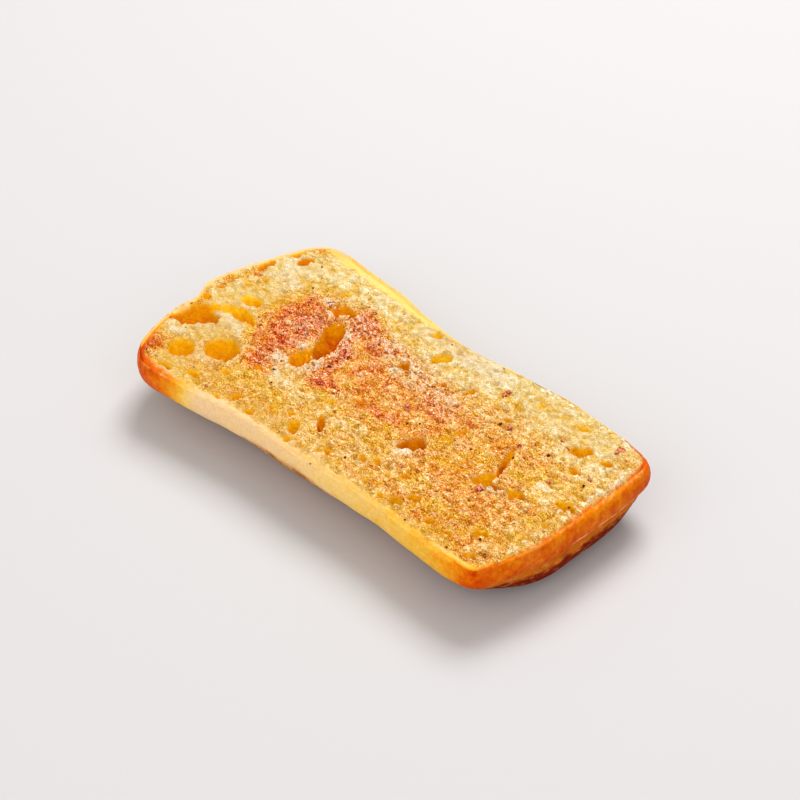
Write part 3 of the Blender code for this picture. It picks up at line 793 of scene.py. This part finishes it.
class Shade:
    """One value or colour of a finish, so that sums of them read as Python sums."""

    def __init__(self, finish, socket):
        self.finish = finish
        self.socket = socket

    def math(self, operation, *values):
        sockets = dict(enumerate(values))
        return self.finish.node("ShaderNodeMath", {"operation": operation}, sockets)

    def __add__(self, other):
        return self.math("ADD", self, other)

    def __radd__(self, other):
        return self.math("ADD", other, self)

    def __sub__(self, other):
        return self.math("SUBTRACT", self, other)

    def __rsub__(self, other):
        return self.math("SUBTRACT", other, self)

    def __mul__(self, other):
        return self.math("MULTIPLY", self, other)

    def __rmul__(self, other):
        return self.math("MULTIPLY", other, self)

    def __abs__(self):
        return self.math("ABSOLUTE", self)

    def step(self, low, high):
        """Rises softly from 0 at low to 1 at high, or falls where low is the larger."""
        sockets = {0: self, 1: min(low, high), 2: max(low, high)}
        if low > high:
            sockets |= {3: 1.0, 4: 0.0}
        settings = {"interpolation_type": "SMOOTHSTEP"}
        return self.finish.node("ShaderNodeMapRange", settings, sockets)


class Finish:
    """A material built from nodes, on millimetres of the bread's own space."""

    def __init__(self, name):
        self.material = bpy.data.materials.new(name)
        self.material.use_nodes = True
        self.tree = self.material.node_tree
        self.shader = self.tree.nodes["Principled BSDF"]
        place = self.node("ShaderNodeTexCoord", {}, {}, "Object")
        self.place = self.vector("SCALE", {0: place, "Scale": 1 / MM})

    def node(self, kind, settings, sockets, output=0):
        """Adds a node: its settings first, then the values or links of its sockets."""
        node = self.tree.nodes.new(kind)
        for name, value in settings.items():
            if name == "stops":
                self.set_stops(node.color_ramp, value)
            else:
                setattr(node, name, value)
        for key, value in sockets.items():
            self.feed(node.inputs[key], value)
        return Shade(self, node.outputs[output])

    @staticmethod
    def set_stops(ramp, stops):
        for index, (position, color) in enumerate(stops):
            stop = ramp.elements[index] if index < 2 else ramp.elements.new(position)
            stop.position = position
            stop.color = color

    def feed(self, socket, value):
        if isinstance(value, Shade):
            self.tree.links.new(value.socket, socket)
        else:
            socket.default_value = value

    def vector(self, operation, sockets):
        return self.node("ShaderNodeVectorMath", {"operation": operation}, sockets)

    def mask(self, name):
        return self.node("ShaderNodeAttribute", {"attribute_name": name}, {}, "Fac")

    def blend(self, first, second, share):
        """Goes from the first colour to the second by a share from 0 to 1."""
        settings = {"data_type": "RGBA", "clamp_factor": True}
        return self.node("ShaderNodeMix", settings, {0: share, 6: first, 7: second}, 2)

    def ramp(self, value, stops):
        return self.node("ShaderNodeValToRGB", {"stops": stops}, {"Fac": value})

    def speckle(self, size, detail=2.0, rough=0.5, place=None):
        """Soft noise from 0 to 1 with features of the given size."""
        sockets = {"Scale": 1 / size, "Detail": detail, "Roughness": rough}
        sockets["Vector"] = place or self.place
        return self.node("ShaderNodeTexNoise", {}, sockets)

    def stretched(self, scales):
        """The place, with each axis scaled."""
        return self.vector("MULTIPLY", {0: self.place, 1: scales})

    def swirled(self, size, reach, place):
        """The given place, pushed about by soft noise."""
        sockets = {"Vector": self.place, "Scale": 1 / size}
        push = self.node("ShaderNodeTexNoise", {}, sockets, "Color")
        return self.vector("MULTIPLY_ADD", {0: push, 1: (reach, reach, reach), 2: place})

    def scaled(self, color, share):
        """The colour made brighter or darker by a share that varies."""
        return self.vector("SCALE", {0: color, "Scale": share})

    def deepened(self, color, power):
        """The colour raised to a power: above 1 it is darker and warmer, below 1 paler."""
        return self.node("ShaderNodeGamma", {}, {"Color": color, "Gamma": power})

    def height(self):
        """Height above the table in millimetres."""
        return self.node("ShaderNodeSeparateXYZ", {}, {0: self.place}, "Z")

    def set(self, **values):
        """Sets sockets of the shader: Base_Color for Base Color, and so on."""
        for name, value in values.items():
            self.feed(self.shader.inputs[name.replace("_", " ")], value)

    def bump(self, height, distance):
        sockets = {"Height": height, "Distance": distance * MM}
        self.set(Normal=self.node("ShaderNodeBump", {}, sockets))


def crumb_relief(finish):
    """Fine grain of the crumb, its torn folds and the thin walls between them, 0 to 1."""
    swirl = finish.swirled(2.2, 3.0, finish.stretched((0.6, 1.0, 1.0)))
    grain = finish.speckle(0.55, 2.0, 0.6, swirl)
    torn = finish.speckle(2.4, 3.0, 0.55, swirl).step(0.34, 0.66)
    walls = abs(finish.speckle(1.7, 2.0, 0.5, swirl) - 0.5).step(0.1, 0.01)
    return grain, torn, walls


def crumb_color(finish, grain, torn, walls):
    """Cream to gold to red-brown crumb, with painted highlight on its crests and painted shade in
    its pores.
    """
    coarse = finish.speckle(2.0, 3.0, 0.65)
    patches = finish.speckle(6.0, 3.0, 0.6)
    calm = finish.mask("calm")
    browning = finish.mask("browning")
    browning = browning + (patches - 0.5) * (browning * 1.1 + 0.3)
    browning = browning + (coarse - 0.5) * (browning * 0.8 + 0.2)
    hot = browning.step(0.5, 0.9)

    # Painted highlight and shade: lighter where the relief, bump and bubble lips stand high,
    # darker in the pores, with some random tone.
    high = (grain - 0.5) * 1.3 + (coarse - 0.5) * 0.9 + finish.mask("crest_highlight") * 0.7
    high = high + (walls - 0.4) * 0.5
    high = high + (torn - 0.5) * 0.8 + 0.46 - finish.mask("pore") * 0.3
    high = high * (1 - calm * 0.6) + calm * (patches * 1.6 - 0.4)
    color, even, crest_highlight = (
        finish.ramp(browning, stops) for stops in (PIT_SHADE_COLORS, EVEN_COLORS, CREST_HIGHLIGHT_COLORS)
    )
    color = finish.blend(color, even, high.step(-0.4, 0.28))
    color = finish.blend(color, crest_highlight, high.step(0.5, 1.15))

    butter = finish.speckle(4.0, 4.0, 0.65) + finish.mask("golden") * 0.22
    rosy = finish.speckle(3.6, 3.0, 0.65).step(0.5, 0.64) * browning.step(0.12, 0.4)
    # Pale crumb and painted highlight: the pale patches, lifted further where the crumb stands
    # high.
    pale_and_glint = (finish.mask("pale_and_glint") + (coarse - 0.5) * 0.9 + (high - 0.5) * 0.25).step(0.35, 0.85)
    shreds, fleck = finish.mask("shredded"), finish.speckle(1.5, 2.0, 0.6)
    for over, share in (
        (BUTTER_YELLOW, butter.step(0.5, 0.66) * (1 - hot * 0.8) * 0.66),
        (DRY_CREAM, butter.step(0.46, 0.3) * (0.55 + calm * 0.2)),
        (ROSY_BROWN, rosy * 0.4),
        (PALE_AND_GLINT_WHITE, pale_and_glint * 0.76),
        (SHADED_CALM_CRUMB, calm * 0.4),
        (PALE_SHRED, shreds * fleck.step(0.5, 0.59) * 0.88),
        (DARK_SHRED, shreds * fleck.step(0.45, 0.36) * 0.8),
    ):
        color = finish.blend(color, over, share)

    # Painted shade: a fine brightness speckle, part random tone and part following the crumb's
    # relief, darkens and warms the crumb.
    mottle_and_shade = finish.speckle(0.5, 3.0, 0.7, finish.stretched((0.7, 1.0, 1.0))) - 0.5
    dappled = browning.step(0.1, 0.45) * 1.2 + 0.8 + hot * 0.5 - calm * 0.64
    mottle_and_shade = mottle_and_shade * dappled * (1 - pale_and_glint * 0.5)
    mottle_and_shade = mottle_and_shade + ((walls - 0.4) * 0.14 + (torn - 0.5) * 0.12) * (1 - calm * 0.5)
    # The calm crumb is also made darker here and below: painted shade.
    power = 1.07 + hot * 0.12 + calm * 0.06 - mottle_and_shade * 1.6
    return finish.scaled(finish.deepened(color, power), mottle_and_shade * 1.3 + 0.95 - calm * 0.08)


def hollow_color(finish, grain):
    """Butter-soaked walls of the open bubbles: yellow where shallow, and browner where deep and by
    the near lip, which is painted shade.
    """
    # The deep and shade masks add painted shade to the bubble's own warmth.
    warmth = finish.mask("warmth") * 0.75 + finish.mask("deep") * 0.3 + finish.mask("shade") * 0.7
    warmth = warmth + (finish.speckle(2.6, 4.0, 0.65) - 0.5) * 0.8 + (grain - 0.5) * 0.2
    color = finish.ramp(warmth, HOLLOW_COLORS)
    return finish.scaled(color, 0.62 + finish.speckle(1.1, 4.0, 0.8) * 0.74)


def crust_color(finish):
    """Smooth skin, cream where the roll was shaded from the heat and orange where it wasn't."""
    cloud = finish.speckle(5.0, 4.0, 0.7)
    fleck = finish.speckle(1.6, 3.0, 0.65)
    bake = finish.mask("bake")
    bake = bake + (cloud - 0.5) * (bake * 0.5 + 0.25) + (fleck - 0.5) * 0.35
    color = finish.ramp(bake, CRUST_COLORS)
    color = finish.blend(color, CRUST_YELLOW, finish.mask("golden") * 0.75)
    return finish.scaled(color, 0.76 + finish.speckle(1.5, 4.0, 0.75) * 0.46)


def base_color(finish):
    """Rough, floury brown of the underside, scorched and streaked towards the right end."""
    streaked = finish.stretched((1.0, 0.4, 1.0))
    flour = finish.speckle(1.6, 5.0, 0.7, streaked).step(0.52, 0.7)
    cloud = finish.speckle(4.0, 4.0, 0.65, streaked)
    lower = finish.height().step(14.5, 8.5)
    scorch = (cloud * 1.6 - 0.3 + (lower - 0.5) * 0.7).step(0.3, 0.75)
    brown = finish.blend(BASE_BROWN, BASE_SCORCH, scorch)
    brown = finish.blend(brown, BROWN_FLOUR, flour * 0.5)
    tan = finish.blend(BASE_TAN, TAN_FLOUR, flour)
    tan = finish.blend(tan, TAN_SHADOW, cloud.step(0.42, 0.66) * 0.8)
    return finish.blend(tan, brown, finish.mask("scorched"))


def crease_and_highlight_share(finish):
    """Where the pale broken crease runs between the two bands of the end wall; part of its
    paleness is a painted highlight along the lip.
    """
    crease = finish.height() + (finish.speckle(4.0) - 0.5) * 1.2
    share = crease.step(14.2, 14.8) * crease.step(16.7, 16.0) * finish.mask("end")
    return share * finish.speckle(2.2, 3.0, 0.6).step(0.36, 0.52)


def bread_finish():
    """The whole bread's material: crumb, open bubbles, crust and underside."""
    finish = Finish("buttered_toasted_bread")
    grain, torn, walls = crumb_relief(finish)
    hollow = finish.mask("hollow") + (grain - 0.5) * 0.4 + (torn - 0.5) * 0.2
    hollow = hollow.step(0.08, 0.7)
    skin, base = finish.mask("skin"), finish.mask("base")
    color = crumb_color(finish, grain, torn, walls)
    color = finish.blend(color, hollow_color(finish, grain), hollow)
    color = finish.blend(color, crust_color(finish), skin)
    color = finish.blend(color, base_color(finish), base)
    # The crease: pale crust and painted highlight.
    color = finish.blend(color, CREASE_CREAM_AND_HIGHLIGHT, crease_and_highlight_share(finish) * 0.8)
    finish.set(
        Base_Color=color,
        Roughness=0.5 + base * 0.3 + (finish.speckle(5.0) - 0.5) * 0.25 - skin * 0.08,
        Subsurface_Weight=0.1,
        Subsurface_Radius=(1.0, 0.5, 0.2),
        Subsurface_Scale=0.0015,
        Specular_IOR_Level=0.04,
        Specular_Tint=(1.0, 0.72, 0.4, 1.0),
    )
    crumb_height = (grain - 0.5) * 0.7 + (torn - 0.5) * 0.5 + (walls - 0.4) * 0.4
    crumb_height = crumb_height * (1 - hollow * 0.5) * (1 - finish.mask("calm") * 0.5)
    crust_height = (finish.speckle(1.6, 4.0, 0.6) - 0.5) * (0.5 + base * 1.1)
    finish.bump(crumb_height * (1 - skin) + crust_height * skin, 0.7)
    return finish.material


def grain_finish(name, first, second):
    """A topping's material, speckled with two colours."""
    finish = Finish(name)
    color = finish.blend(first, second, finish.speckle(1.0, 2.0, 0.6).step(0.38, 0.6))
    finish.set(Base_Color=color, Roughness=0.5, Specular_IOR_Level=0.06)
    return finish.material


def toward_view(azimuth, elevation):
    """The direction that leads from the bread to a viewer or a light, angles in degrees."""
    a, e = math.radians(azimuth), math.radians(elevation)
    return Vector((math.sin(a) * math.cos(e), -math.cos(a) * math.cos(e), math.sin(e)))


def set_up_camera():
    """The photograph's view: from the near right, looking down at the cut face."""
    back = toward_view(CAMERA_AZIMUTH, CAMERA_ELEVATION)
    azimuth = math.radians(CAMERA_AZIMUTH)
    right = Vector((math.cos(azimuth), math.sin(azimuth), 0))
    up = back.cross(right)
    aim = Vector((*FOOTPRINT_SHIFT, THICKNESS))
    place = aim + CAMERA_DISTANCE * back + CAMERA_SHIFT[0] * right + CAMERA_SHIFT[1] * up
    data = bpy.data.cameras.new("camera")
    data.lens = 135.0
    data.sensor_width = 36.0
    data.clip_start, data.clip_end = 0.05, 20.0
    axes = Matrix((right, up, back)).transposed().to_4x4()
    bpy.context.scene.camera = link("camera", data, Matrix.Translation(place * MM) @ axes)


def soft_light(name, azimuth, elevation, distance, size, energy, color):
    """A square studio light that faces the bread."""
    data = bpy.data.lights.new(name, "AREA")
    data.size = size
    data.energy = energy
    data.color = color
    toward = toward_view(azimuth, elevation)
    axes = toward.to_track_quat("Z", "Y").to_matrix().to_4x4()
    link(name, data, Matrix.Translation(toward * distance) @ axes)


def set_up_studio():
    """A pale floor, three soft lights and a warm, even sky."""
    bm = bmesh.new()
    bmesh.ops.create_grid(bm, x_segments=1, y_segments=1, size=3.0)
    floor = finished("floor", bm)
    finish = Finish("pale_floor")
    finish.set(Base_Color=painted(202, 201, 203), Roughness=0.7)
    floor.data.materials.append(finish.material)
    # Name, azimuth, elevation, distance, size, energy and colour.
    soft_light("window_light", 208, 54, 1.6, 0.8, 22.0, (1.0, 0.995, 0.99))
    soft_light("front_light", 5, 32, 1.6, 1.6, 11.0, (1.0, 0.99, 0.985))
    soft_light("side_light", 75, 30, 1.8, 1.4, 6.5, (1.0, 0.99, 0.985))
    world = bpy.data.worlds.new("studio")
    world.use_nodes = True
    background = world.node_tree.nodes["Background"]
    background.inputs["Color"].default_value = (1.0, 0.95, 0.88, 1.0)
    background.inputs["Strength"].default_value = 0.5
    bpy.context.scene.world = world
    bpy.context.scene.view_settings.view_transform = "Standard"


def main():
    set_up_camera()
    set_up_studio()
    bread = bake_bread()
    bread.data.materials.append(bread_finish())
    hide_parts("garlic_bread")
    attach(bread, "root")
    for piece in season(bread):
        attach(piece, "root")


main()
